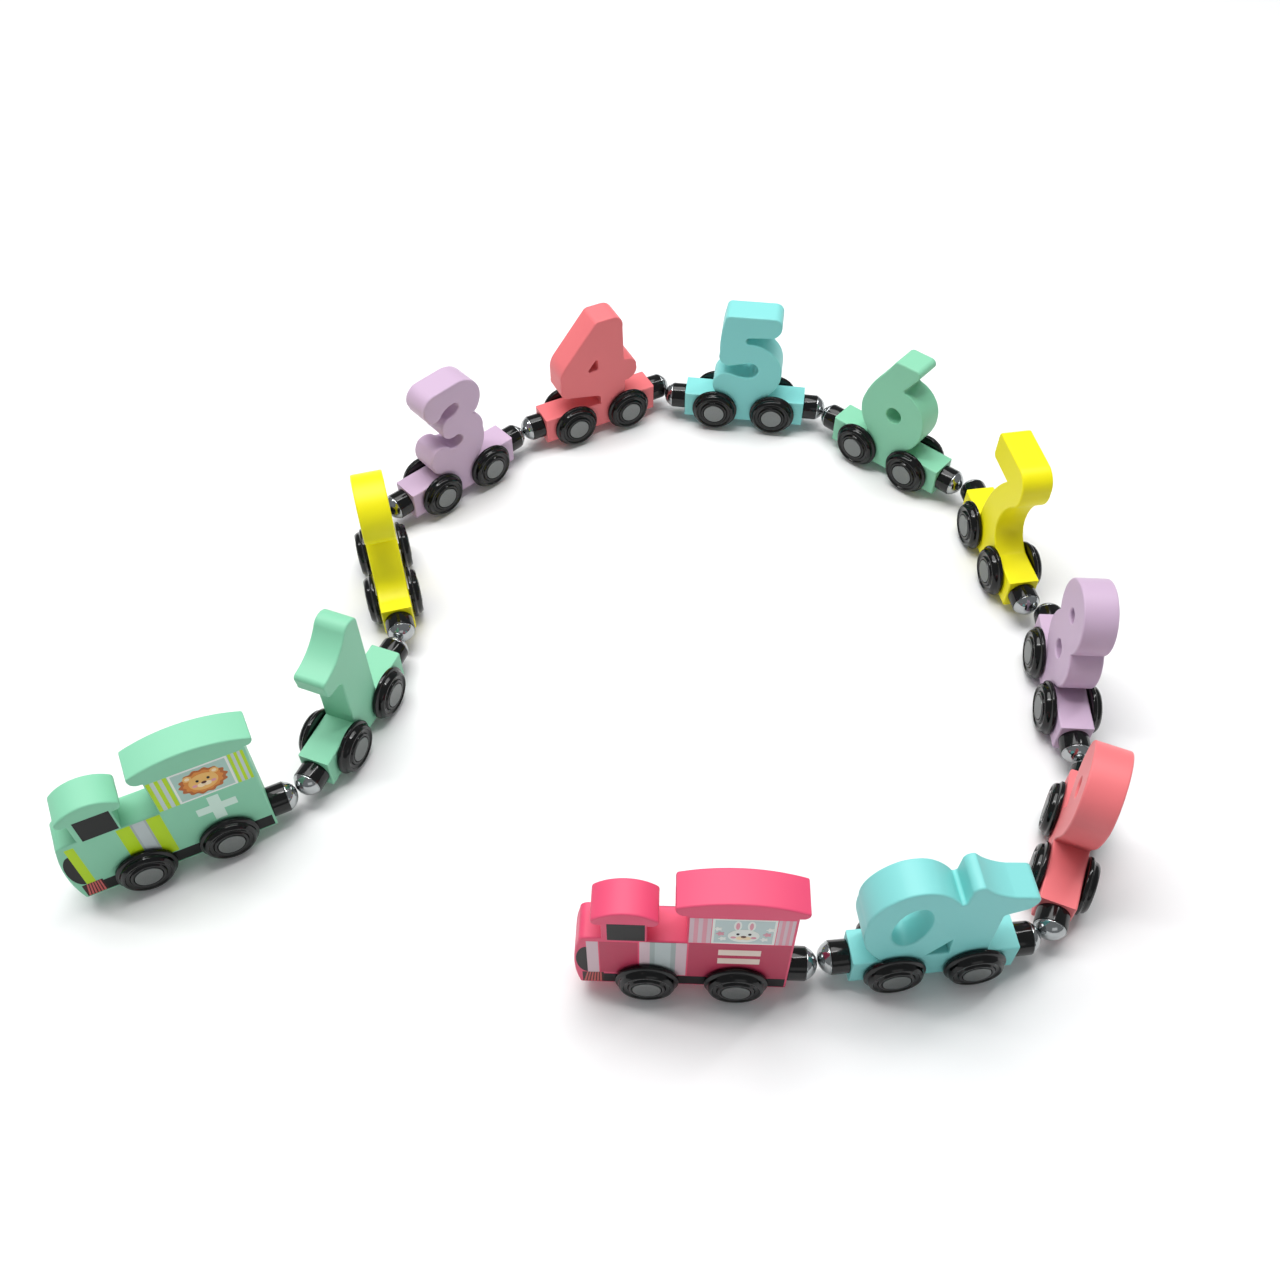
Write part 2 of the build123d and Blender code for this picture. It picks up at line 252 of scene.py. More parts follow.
for name, vehicle in vehicles.items():
    vehicle["stand"] = Matrix.Translation(vehicle["middle"]) @ Matrix.Rotation(vehicle["heading"], 4, "Z")
    vehicle["loops"], half_board = board_loops(f"{name}_body", vehicle["stand"].inverted())
    outline = max(vehicle["loops"], key=len)
    print(name, "has", len(outline), "outline points and", len(vehicle["loops"]) - 1, "holes")

# %% [markdown]
# A curve's settings and an object's modifiers are only recipes. The export needs plain meshes, so
# each recipe is evaluated once and kept as a mesh, and the object that held it goes.

# %% Turn an outline into a rounded board
RIM_ROUND = 0.8 * MM  # radius that the rounding bit leaves on both rims
SHARPEST_SMOOTH = math.radians(38)  # corners sharper than this stay crisp
CURVE_WELD = 0.004 * MM  # a filled curve's doubles are nearer than this


def link(obj):
    """Puts an object in the scene."""
    bpy.context.scene.collection.objects.link(obj)
    return obj


def finished_mesh(obj, name):
    """A plain mesh of an object as it looks with its curve settings or modifiers."""
    bpy.context.view_layer.update()
    seen = obj.evaluated_get(bpy.context.evaluated_depsgraph_get())
    mesh = bpy.data.meshes.new_from_object(seen)
    mesh.name = name
    bpy.data.objects.remove(obj)
    return mesh


def rounded_board(name, loops):
    """A board with rounded rims, in the vehicle's own frame."""
    curve = bpy.data.curves.new(name, "CURVE")
    curve.dimensions = "2D"
    curve.fill_mode = "BOTH"
    curve.extrude = half_board - RIM_ROUND
    curve.bevel_depth = RIM_ROUND
    curve.bevel_resolution = 3
    curve.offset = -RIM_ROUND
    for loop in loops:
        spline = curve.splines.new("POLY")
        spline.points.add(len(loop) - 1)
        spline.use_cyclic_u = True
        for point, (x, z) in zip(spline.points, loop):
            point.co = (x, z, 0, 1)
    mesh = finished_mesh(link(bpy.data.objects.new(name, curve)), name)
    mesh.transform(Matrix.Rotation(math.pi / 2, 4, "X"))
    return mesh


def close_and_point_out(mesh):
    """Merges a mesh's doubles and turns its faces outwards."""
    work = bmesh.new()
    work.from_mesh(mesh)
    bmesh.ops.remove_doubles(work, verts=work.verts, dist=CURVE_WELD)
    bmesh.ops.recalc_face_normals(work, faces=work.faces)
    work.to_mesh(mesh)
    work.free()


print("rims are rounded to, mm:", RIM_ROUND / MM)

# %% [markdown]
# The lacquer's patterns need to know where each point lies in its own board, before the board
# is turned to its heading. So each mesh carries that place as an attribute, with two more that
# say whether the point is on a sawn edge or on a rounded rim.

# %% Saw, round and paint the boards
RIM_MARGIN = 0.02 * MM  # a rim starts this far inside its own limits


def remember_board_places(mesh):
    """Stores each point's place in its own board, and whether it lies on a rim or a sawn edge."""
    places = mesh.attributes.new("board_mm", "FLOAT_VECTOR", "POINT")
    edges = mesh.attributes.new("sawn_edge", "FLOAT", "POINT")
    rims = mesh.attributes.new("rim", "FLOAT", "POINT")
    flat_from = half_board - RIM_MARGIN
    edge_to = half_board - RIM_ROUND + RIM_MARGIN
    for vert in mesh.vertices:
        off_middle = abs(vert.co.y)
        places.data[vert.index].vector = vert.co / MM
        edges.data[vert.index].value = float(off_middle < edge_to)
        rims.data[vert.index].value = float(edge_to < off_middle < flat_from)


for name, vehicle in vehicles.items():
    mesh = rounded_board(f"{name}_board", vehicle["loops"])
    close_and_point_out(mesh)
    remember_board_places(mesh)
    mesh.transform(vehicle["stand"])
    mesh.shade_smooth()
    mesh.set_sharp_from_angle(angle=SHARPEST_SMOOTH)
    board = link(bpy.data.objects.new(f"{name}_board", mesh))
    weights = board.modifiers.new("even_faces", "WEIGHTED_NORMAL")
    weights.keep_sharp = True
    slot = PAINT_OF[f"{name}_body"]
    mesh.materials.clear()
    mesh.materials.append(lacquers[slot.removesuffix("_paint")])
    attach(board, name)
    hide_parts(f"{name}_body")
    print(board.name, len(mesh.vertices), "points")

# %% [markdown]
# ## Black plastic, steel and chrome
#
# Wheels and coupler cups are moulded in glossy black plastic such as ABS. It is a dielectric, so
# its highlight is white and its body is a near black that is never quite zero. The mould is
# polished, but not perfectly, which a soft, shallow noise gives. An axle's flat head is stamped
# and tumbled steel, a mid grey metal with a fine random grain. A magnet's dome is bright
# chrome plate, smooth enough to mirror its neighbours. The two metals differ only in numbers, so
# one function makes both.

# %% Make the plastic and the two metals
MOULD_RIPPLE = 3.0  # mm between the soft waves of the moulded skin
MOULD_RELIEF = 0.05  # mm between those waves' lowest and highest points
PLASTIC_IOR = 1.54  # typical of ABS
TUMBLE_GRAIN = 0.35  # mm across the marks of tumbling, drawn coarser than life so that they show
PLATING_WAVE = 2.5  # mm between the soft waves of the plating


def moulded_plastic(name, colour, roughness):
    """Glossy moulded plastic with a barely waved skin."""
    material, tree = new_material(name)
    place = add(tree, "ShaderNodeTexCoord").outputs["Object"]
    waves = add(tree, "ShaderNodeTexNoise", {
        "Vector": place, "Scale": 1 / (MOULD_RIPPLE * MM), "Detail": 2.0})
    bump = add(tree, "ShaderNodeBump", {
        "Height": waves.outputs["Fac"], "Strength": 0.12, "Distance": MOULD_RELIEF * MM})
    rough = add(tree, "ShaderNodeMapRange", {
        "Value": waves.outputs["Fac"], "To Min": roughness * 0.8, "To Max": roughness * 1.3})
    shader = add(tree, "ShaderNodeBsdfPrincipled", {
        "Base Color": linear(colour), "Roughness": rough.outputs[0], "IOR": PLASTIC_IOR,
        "Specular IOR Level": 0.32, "Normal": bump.outputs[0],
    })
    add(tree, "ShaderNodeOutputMaterial", {"Surface": shader.outputs[0]})
    return material


def plain_metal(name, colour, dark, roughness, grain, depth):
    """A metal whose grain, of that pitch and depth in mm, varies its tone and its gloss."""
    material, tree = new_material(name)
    place = add(tree, "ShaderNodeTexCoord").outputs["Object"]
    marks = add(tree, "ShaderNodeTexNoise", {"Vector": place, "Scale": 1 / (grain * MM), "Detail": 3.0})
    tone = add(tree, "ShaderNodeMix", {
        0: marks.outputs["Fac"], 6: linear(dark), 7: linear(colour)}, data_type="RGBA")
    bump = add(tree, "ShaderNodeBump", {
        "Height": marks.outputs["Fac"], "Strength": 0.2, "Distance": depth * MM})
    rough = add(tree, "ShaderNodeMapRange", {
        "Value": marks.outputs["Fac"], "To Min": roughness * 0.8, "To Max": roughness * 1.25})
    shader = add(tree, "ShaderNodeBsdfPrincipled", {
        "Base Color": tone.outputs[2], "Metallic": 1.0, "Roughness": rough.outputs[0],
        "Normal": bump.outputs[0],
    })
    add(tree, "ShaderNodeOutputMaterial", {"Surface": shader.outputs[0]})
    return material


black_plastic = moulded_plastic("black_moulded_plastic", "#0A0B0B", 0.11)
cap_steel = plain_metal("tumbled_steel", "#858887", "#5C5F5E", 0.4, TUMBLE_GRAIN, 0.02)
dome_chrome = plain_metal("bright_chrome_plate", "#AEB1B2", "#A0A3A4", 0.11, PLATING_WAVE, 0.005)
print("made", black_plastic.name, cap_steel.name, dome_chrome.name)

# %% [markdown]
# ## Turned profiles
#
# Wheels, axles, cups and domes are all round about an axis, so each is described by half of its
# section: distances from the axis, and heights along it. A real mould or lathe never leaves a
# knife edge, and a small round on every corner is what catches the light. One function rounds
# a profile's corners, and one spins it. Blender's Screw modifier could spin it too, but
# placing the rings directly closes the poles cleanly.

# %% Round a profile's corners and spin it
FACETS = 72  # round the axis
EASE_STEPS = 4  # straight pieces in a rounded corner
ON_AXIS = 0.01  # mm: a point nearer than this to the axis is on it
LONGEST_EASE = 0.45  # of the shorter edge at a corner, so that two roundings never meet


def eased(profile, radius):
    """A profile whose corners, apart from those on the axis, are rounded to that radius."""
    points = [Vector(point) for point in profile]
    result = []
    for index, corner in enumerate(points):
        before = points[index - 1] - corner
        after = points[(index + 1) % len(points)] - corner
        if corner.x < ON_AXIS:
            result.append(corner)
            continue
        reach = min(radius, LONGEST_EASE * before.length, LONGEST_EASE * after.length)
        start = corner + before.normalized() * reach
        end = corner + after.normalized() * reach
        for step in range(EASE_STEPS + 1):
            t = step / EASE_STEPS
            result.append(start * (1 - t) ** 2 + corner * 2 * t * (1 - t) + end * t ** 2)
    return result


def turned(name, profile):
    """A closed profile of (distance from the axis, height) in millimetres, spun about Z."""
    work = bmesh.new()
    rings = []
    for radius, height in profile:
        if radius < ON_AXIS:
            rings.append([work.verts.new((0, 0, height * MM))] * FACETS)
            continue
        ring = []
        for k in range(FACETS):
            angle = math.tau * k / FACETS
            place = (radius * MM * math.cos(angle), radius * MM * math.sin(angle), height * MM)
            ring.append(work.verts.new(place))
        rings.append(ring)
    for ring, following in zip(rings, rings[1:] + rings[:1]):
        for k in range(FACETS):
            corners = [ring[k], ring[(k + 1) % FACETS], following[(k + 1) % FACETS], following[k]]
            corners = list(dict.fromkeys(corners))
            if len(corners) > 2:
                work.faces.new(corners)
    bmesh.ops.recalc_face_normals(work, faces=work.faces)
    mesh = bpy.data.meshes.new(name)
    work.to_mesh(mesh)
    work.free()
    return link(bpy.data.objects.new(name, mesh))


print("each turned piece has", FACETS, "facets round its axis")

# %% [markdown]
# ## The four turned pieces
#
# All four are drawn with Z pointing outwards from the vehicle's middle. A wheel has a tall flange
# on its inside, a tapered tread, and a dished face with a raised ring that hides the edge of the
# axle's head. Half an axle is a thin rod with that head. A coupler's cup holds a magnet, whose
# rim and dome stand out of it, and a steel pin behind the dome nails both to the wood.

# %% Draw the wheel and half of its axle
FLANGE_RADIUS = 12.0
WHEEL_BACK = half_board / MM + 0.5  # a little side play between the wood and the wheel
WHEEL_FRONT = WHEEL_BACK + 4.6
HEAD_FRONT = WHEEL_FRONT + 0.4
HEAD_BACK = HEAD_FRONT - 1.1
HEAD_RADIUS = 5.4
AXLE_RADIUS = 1.5
MOULDED_EASE = 0.45  # a moulded corner's round
STAMPED_EASE = 0.35  # a stamped one's

wheel = turned("wheel_turning", eased([
    (AXLE_RADIUS, WHEEL_BACK),
    # the flange
    (FLANGE_RADIUS - 0.3, WHEEL_BACK), (FLANGE_RADIUS, WHEEL_BACK + 0.35),
    (FLANGE_RADIUS, WHEEL_BACK + 1.6), (FLANGE_RADIUS - 0.8, WHEEL_BACK + 2.0),
    # the tread
    (10.8, WHEEL_BACK + 2.3), (10.55, WHEEL_FRONT - 1.0), (9.6, WHEEL_FRONT), (9.0, WHEEL_FRONT),
    # the dish, and the raised ring inside it
    (8.7, WHEEL_FRONT - 0.6), (7.3, WHEEL_FRONT - 0.9), (6.9, WHEEL_FRONT - 0.1),
    (6.6, WHEEL_FRONT + 0.2), (5.7, WHEEL_FRONT + 0.2),
    # the seat under the axle's head
    (HEAD_RADIUS + 0.15, HEAD_BACK), (AXLE_RADIUS, HEAD_BACK),
], MOULDED_EASE))
axle_half = turned("axle_turning", eased([
    (0, 0), (AXLE_RADIUS, 0), (AXLE_RADIUS, HEAD_BACK), (HEAD_RADIUS, HEAD_BACK),
    (HEAD_RADIUS, HEAD_FRONT - 0.05), (HEAD_RADIUS - 0.5, HEAD_FRONT), (0, HEAD_FRONT),
], STAMPED_EASE))
print("wheel over its flange, mm:", round(wheel.dimensions.x / MM, 2))

# %% Draw the coupler's cup and its magnet
CUP_RADIUS = 6.5
CUP_LENGTH = 7.2
CUP_FLOOR = 2.2
PLUG_RADIUS = 5.4
RIM_RADIUS = 6.25
RIM_FRONT = CUP_LENGTH + 0.5
DOME_RADIUS = 6.5
DOME_MIDDLE = 5.2
DOME_STEPS = 20
PIN_RADIUS = 1.2
PIN_DEPTH = 9.0
FIT = 0.1  # all round the plug and the pin
CUP_EASE = 0.5
RIM_EASE = 0.18

cup = turned("cup_turning", eased([
    (PIN_RADIUS + FIT, 0), (CUP_RADIUS, 0), (CUP_RADIUS, CUP_LENGTH), (PLUG_RADIUS + FIT, CUP_LENGTH),
    (PLUG_RADIUS + FIT, CUP_FLOOR), (PIN_RADIUS + FIT, CUP_FLOOR),
], CUP_EASE))
rim_angle = math.acos((RIM_FRONT - DOME_MIDDLE) / DOME_RADIUS)
dome_angles = [rim_angle * (1 - k / DOME_STEPS) for k in range(DOME_STEPS + 1)]
dome = [(DOME_RADIUS * math.sin(a), DOME_MIDDLE + DOME_RADIUS * math.cos(a)) for a in dome_angles]
holder = eased([
    (0, -PIN_DEPTH), (PIN_RADIUS, -PIN_DEPTH), (PIN_RADIUS, CUP_FLOOR), (PLUG_RADIUS, CUP_FLOOR),
    (PLUG_RADIUS, CUP_LENGTH), (RIM_RADIUS, CUP_LENGTH), (RIM_RADIUS, RIM_FRONT), dome[0],
], RIM_EASE)
up_to_dome = holder[:-EASE_STEPS - 1]  # the dome starts with a crisp edge, so its eased corner goes
magnet = turned("magnet_turning", [point[:] for point in up_to_dome] + dome)
print("dome stands out of the wood by, mm:", round(dome[-1][1], 2))

# %% [markdown]
# ## Setting the turned pieces with Geometry Nodes
#
# Each wheelset has two wheels that face apart, and each car has two couplers that do the same, so
# one small tree sets them all. It makes one point for each copy and puts the turned piece on it,
# the first copy turned by First Turn, and each next one by Turn Step more. It moves each copy out
# along its own axis, makes the instances real, because an exported model can't hold instances,
# and stands the group at its height, heading and place. Set Material comes last.

# %% Build the tree
tree = bpy.data.node_groups.new("set_turned_pieces", "GeometryNodeTree")
for label, kind in (
    ("Turned Piece", "NodeSocketObject"), ("Copies", "NodeSocketInt"), ("Reach", "NodeSocketFloat"),
    ("First Turn", "NodeSocketVector"), ("Turn Step", "NodeSocketVector"), ("Place", "NodeSocketVector"),
    ("Heading", "NodeSocketFloat"), ("Finish", "NodeSocketMaterial"),
):
    tree.interface.new_socket(label, in_out="INPUT", socket_type=kind)
tree.interface.new_socket("Geometry", in_out="OUTPUT", socket_type="NodeSocketGeometry")
given = add(tree, "NodeGroupInput").outputs
piece = add(tree, "GeometryNodeObjectInfo", {"Object": given["Turned Piece"]})
points = add(tree, "GeometryNodePoints", {"Count": given["Copies"]})
number = add(tree, "GeometryNodeInputIndex")
turn = add(tree, "ShaderNodeVectorMath", {
    0: given["Turn Step"], 1: number.outputs[0], 2: given["First Turn"]}, operation="MULTIPLY_ADD")
copies = add(tree, "GeometryNodeInstanceOnPoints", {
    "Points": points.outputs[0], "Instance": piece.outputs["Geometry"], "Rotation": turn.outputs[0]})
out_by = add(tree, "ShaderNodeCombineXYZ", {"Z": given["Reach"]})
moved = add(tree, "GeometryNodeTranslateInstances", {
    "Instances": copies.outputs[0], "Translation": out_by.outputs[0], "Local Space": True})
aim = add(tree, "ShaderNodeCombineXYZ", {"Z": given["Heading"]})
real = add(tree, "GeometryNodeRealizeInstances", {"Geometry": moved.outputs[0]})
stood = add(tree, "GeometryNodeTransform", {
    "Geometry": real.outputs[0], "Translation": given["Place"], "Rotation": aim.outputs[0]})
smooth = add(tree, "GeometryNodeSetShadeSmooth", {"Geometry": stood.outputs[0]})
finish = add(tree, "GeometryNodeSetMaterial", {"Geometry": smooth.outputs[0], "Material": given["Finish"]})
add(tree, "NodeGroupOutput", {"Geometry": finish.outputs[0]})
SOCKET = {item.name: item.identifier for item in tree.interface.items_tree if item.in_out == "INPUT"}
print("tree inputs:", ", ".join(SOCKET))


# %% Set wheels, axles, cups and magnets on every vehicle
def set_pieces(name, body, slot, node, **values):
    """One plain mesh from the tree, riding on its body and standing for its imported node."""
    holder = link(bpy.data.objects.new(name, bpy.data.meshes.new(name)))
    modifier = holder.modifiers.new("set_turned_pieces", "NODES")
    modifier.node_group = tree
    for label, value in values.items():
        modifier[SOCKET[label.replace("_", " ").title()]] = value
    mesh = finished_mesh(holder, name)
    mesh.set_sharp_from_angle(angle=SHARPEST_SMOOTH)
    obj = link(bpy.data.objects.new(name, mesh))
    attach(obj, body)
    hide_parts(node)
    return obj


QUARTER = math.pi / 2
COUPLER_HEIGHT = 12.5 * MM
BLOCK_REACH = 8 * MM  # outline points no further than this above or below are on the base block
set_count = 0
for name, vehicle in vehicles.items():
    stand = vehicle["middle"]
    heading = vehicle["heading"]
    rear_only = vehicle["is_engine"]
    outline = max(vehicle["loops"], key=len)
    wood_end = -min(x for x, z in outline if abs(z - COUPLER_HEIGHT) < BLOCK_REACH)
    ends = {
        "copies": 1 if rear_only else 2, "first_turn": (0, -QUARTER, 0),
        "turn_step": (0, 2 * QUARTER, 0), "place": (stand.x, stand.y, COUPLER_HEIGHT),
        "heading": heading, "reach": wood_end,
    }
    set_pieces(f"{name}_cups", name, "coupler_plastic", f"{name}_couplers",
               turned_piece=cup, finish=black_plastic, **ends)
    set_pieces(f"{name}_domes", name, "magnet_chrome", f"{name}_magnets",
               turned_piece=magnet, finish=dome_chrome, **ends)
    set_count += 2
    for axle in ("front_wheels", "rear_wheels"):
        pair = {
            "copies": 2, "first_turn": (-QUARTER, 0, 0), "turn_step": (2 * QUARTER, 0, 0),
            "place": axle_place(f"{name}_{axle}")[:], "heading": heading, "reach": 0.0,
        }
        set_pieces(f"{name}_{axle}_rolling", f"{name}_{axle}", "wheel_plastic", f"{name}_{axle}",
                   turned_piece=wheel, finish=black_plastic, **pair)
        set_pieces(f"{name}_{axle}_axle", f"{name}_{axle}", "wheel_plastic", f"{name}_{axle}",
                   turned_piece=axle_half, finish=cap_steel, **pair)
        set_count += 2
for source in (wheel, axle_half, cup, magnet):
    bpy.data.objects.remove(source)
print("turned meshes set:", set_count)

# %% [markdown]
# ## Printed pictures on the engines
#
# Both sides of each engine carry printed films: a black window, stripes, a lamp on the nose, a
# striped cow-catcher, a black band behind the wheels and a framed picture on the cab. A film is a
# few hundredths of a millimetre thick. The prints could be one image on a flat plate, but shapes
# stay sharp at any distance. So each printed shape is its own thin plate, and a shape printed over
# another stands a little higher, so that overlapping prints never share a plane.

# %% Make the printing inks
STIPPLE = 0.8  # mm between the print's dots, drawn coarser than life so that they show


def printed_ink(name, colour):
    """Semi-gloss printed film: an even colour with the faint stipple of its print."""
    material, tree = new_material(name)
    place = add(tree, "ShaderNodeAttribute", attribute_name="board_mm").outputs["Vector"]
    stipple = add(tree, "ShaderNodeTexNoise", {"Vector": place, "Scale": 1 / STIPPLE, "Detail": 2.0})
    shade = add(tree, "ShaderNodeMapRange", {
        "Value": stipple.outputs["Fac"], "To Min": 0.94, "To Max": 1.04})
    tone = add(tree, "ShaderNodeVectorMath", {
        0: linear(colour)[:3], "Scale": shade.outputs[0]}, operation="SCALE")
    rough = add(tree, "ShaderNodeMapRange", {
        "Value": stipple.outputs["Fac"], "To Min": 0.3, "To Max": 0.42})
    shader = add(tree, "ShaderNodeBsdfPrincipled", {
        "Base Color": tone.outputs[0], "Roughness": rough.outputs[0], "Specular IOR Level": 0.2})
    add(tree, "ShaderNodeOutputMaterial", {"Surface": shader.outputs[0]})
    return material


inks = {label: printed_ink(f"{label}_ink", colour) for label, colour in {
    "black": "#0C0E0E", "lime": "#B4D916", "grey": "#B9C4C4", "silver": "#A3AFAE", "white": "#E8ECE6",
    "mint_white": "#CFEADC", "mist": "#BFD0CF", "sage": "#A9CBC0", "mane": "#B5642C", "amber": "#D98A3C",
    "fur": "#E9B868", "muzzle": "#F3DDB8", "nose": "#5A2E1C", "maroon": "#38161A", "coral": "#C9605E",
    "raspberry": "#BE3D5B", "rose": "#DE9AA8", "ash": "#D6BCC4", "cream": "#EAD8CC",
}.items()}
print("inks:", ", ".join(inks))

# %% [markdown]
# Every print is made of a few flat shapes: bars, ovals and one plus sign. Each function gives the
# points round its shape, in millimetres in the engine's own frame.

# %% Draw plain flat shapes
def bar(left, right, low, high):
    """A rectangle."""
    return [(left, low), (right, low), (right, high), (left, high)]


def oval(x, z, across, up, petals=0, depth=0.0, points=48):
    """An ellipse of those half sizes, scalloped if it has petals."""
    shape = []
    for k in range(points):
        angle = math.tau * k / points
        swell = 1 + depth * math.cos(petals * angle)
        shape.append((x + across * swell * math.cos(angle), z + up * swell * math.sin(angle)))
    return shape


def cross(x, z, half, arm):
    """A plus sign."""
    return [(x - arm, z - half), (x + arm, z - half), (x + arm, z - arm), (x + half, z - arm),
            (x + half, z + arm), (x + arm, z + arm), (x + arm, z + half), (x - arm, z + half),
            (x - arm, z + arm), (x - half, z + arm), (x - half, z - arm), (x - arm, z - arm)]


print("points in a bar, an oval and a plus:",
      len(bar(0, 1, 0, 1)), len(oval(0, 0, 1, 1)), len(cross(0, 0, 3, 1)))

# %% [markdown]
# Some prints follow a small rule of their own. The nose lamp is half an ellipse, the cow-catcher's
# bars lean forwards and narrow towards their tops, and the stripes count backwards at one width.

# %% Draw the lamp, the cow-catcher and the stripes
LAMP_STEPS = 16
CATCHER_BARS = 6
FOOT_HALF = 0.38  # half of a catcher bar's width at its foot
TOP_HALF = 0.26  # and at its top
TOP_REACH = 0.8  # how far forward the tops spread, as a share of the feet


def nose_lamp(flat, low, high, bulge):
    """A half-round lamp whose straight side is at that place, bulging towards the front."""
    half = (high - low) / 2
    angles = [math.pi * k / LAMP_STEPS for k in range(LAMP_STEPS + 1)]
    return [(flat + bulge * math.sin(a), (low + high) / 2 - half * math.cos(a)) for a in angles]


def cow_catcher(front, back, low, high):
    """Upright bars that fan out towards the front."""
    bars = []
    for k in range(CATCHER_BARS):
        foot = (front - back) * (k + 0.5) / CATCHER_BARS
        top = back + foot * TOP_REACH
        foot += back
        bars.append([(foot - FOOT_HALF, low), (foot + FOOT_HALF, low),
                     (top + TOP_HALF, high), (top - TOP_HALF, high)])
    return bars


def stripes(first, inks_in_order, width, low, high):
    """Upright stripes side by side, counted backwards from the first one's front edge."""
    return [(ink, bar(first - (k + 1) * width, first - k * width, low, high), 1)
            for k, ink in enumerate(inks_in_order)]


print("bars in a cow-catcher:", len(cow_catcher(8, 0, 0, 8)))

# %% [markdown]
# The two cards show plain animal heads. Both share a face, cheeks, eyes, a muzzle and a nose, laid
# over what goes round it: a scalloped mane and round ears, or long ears and flowers. Each shape
# has its ink and its layer.

# %% Draw the two animal heads
EYE = 0.6  # half the width of an eye
MANE_PETALS = 14


def head(x, z, face, around):
    """What goes round a face, then the face, cheeks, eyes, muzzle and nose over it."""
    shapes = list(around)
    shapes.append((face, oval(x, z - 0.2, 5.6, 5.0), 5))
    for side in (-1, 1):
        shapes.append(("rose", oval(x + side * 3.6, z - 1.5, 1.0, 0.8), 6))
        shapes.append(("black", oval(x + side * 2.1, z + 1.1, EYE, EYE * 1.3), 6))
        shapes.append(("muzzle", oval(x + side * 1.2, z - 1.9, 1.5, 1.3), 7))
    shapes.append(("nose", oval(x, z - 0.8, 1.0, 0.7), 8))
    return shapes


def lion(x, z):
    """A lion's head: a scalloped mane and two round ears round a plain face."""
    smooth = 8 * MANE_PETALS  # points, so that every petal has eight
    around = [("mane", oval(x, z, 9.0, 7.6, MANE_PETALS, 0.06, smooth), 2),
              ("amber", oval(x, z, 7.4, 6.4, MANE_PETALS, 0.05, smooth), 3)]
    for side in (-1, 1):
        around.append(("fur", oval(x + side * 5.2, z + 4.2, 1.7, 1.7), 4))
        around.append(("muzzle", oval(x + side * 5.2, z + 4.2, 0.9, 0.9), 5))
    return head(x, z, "fur", around)


def rabbit(x, z):
    """A rabbit's head: two long ears over a plain face, with small flowers beside it."""
    around = []
    for side in (-1, 1):
        around.append(("white", oval(x + side * 2.4, z + 5.6, 1.4, 3.6), 3))
        around.append(("rose", oval(x + side * 2.4, z + 5.4, 0.7, 2.6), 4))
        for step, ink in enumerate(("white", "rose", "white")):
            flower = oval(x + side * (7.4 + step * 0.9), z - 4.6 + 3.8 * step, 1.3, 1.3, 5, 0.25)
            around.append((ink, flower, 3))
    return head(x, z - 1.8, "white", around)


print("shapes in the lion and the rabbit:", len(lion(0, 0)), len(rabbit(0, 0)))

# %% [markdown]
# The two engines share the window, the lamp, the cow-catcher and the black band. The mint one has
# lime and grey stripes, a white plus and a plain lion's head on a pale card. The pink one has
# deeper pink panels, pale bars, an equals sign and a rabbit's head with flowers. Places are in
# millimetres in the engine's own frame: X forward from the middle of its axles, Z up from the
# floor. Each shape has its ink, its outline and its layer.

# %% Lay out what the two engines share
HOOD_LOW, HOOD_HIGH = 14.6, 41.6  # of the stripes round the hood
CARD_LOW, CARD_HIGH = 42.8, 62.0
CARD_STRIPE, REAR_STRIPE = 1.55, 1.2  # widths of the stripes before and behind the card
shared = [
    ("black", bar(17.6, 31.2, 42.6, 55.2), 1), ("black", nose_lamp(38.9, 15.6, 36.4, 4.1), 2),
    ("black", bar(-35.1, 33.0, 7.0, 14.0), 1), ("maroon", bar(33.0, 41.0, 7.0, 15.2), 1),
]
shared += [("coral", shape, 2) for shape in cow_catcher(40.8, 33.6, 7.1, 15.1)]


def card_stripes(inks_in_order):
    """The stripes before and behind the card on a cab's side."""
    return (stripes(2.0, inks_in_order, CARD_STRIPE, CARD_LOW, CARD_HIGH)
            + stripes(-28.9, inks_in_order, REAR_STRIPE, CARD_LOW, CARD_HIGH))


def one_layer_up(shapes):
    """The same shapes, each printed one layer higher."""
    return [(ink, shape, layer + 1) for ink, shape, layer in shapes]


print("shared printed shapes:", len(shared))

# %% Lay out each engine's own prints
mint_print = shared + [
    ("lime", bar(35.4, 38.9, 15.2, 41.0), 1),
    ("lime", bar(14.1, 19.4, HOOD_LOW, HOOD_HIGH), 1), ("silver", bar(13.3, 14.1, HOOD_LOW, HOOD_HIGH), 1),
    ("grey", bar(8.8, 13.3, HOOD_LOW, HOOD_HIGH), 1), ("silver", bar(8.0, 8.8, HOOD_LOW, HOOD_HIGH), 1),
    ("lime", bar(2.6, 8.0, HOOD_LOW, HOOD_HIGH), 1),
    ("white", bar(-28.6, -6.0, CARD_LOW, CARD_HIGH), 1), ("sage", bar(-27.7, -6.9, 43.7, 61.1), 2),
    ("mint_white", cross(-17.5, 33.0, 7.9, 2.3), 1),
] + card_stripes(("lime", "mist", "lime", "mist", "lime")) + one_layer_up(lion(-17.3, 52.2))
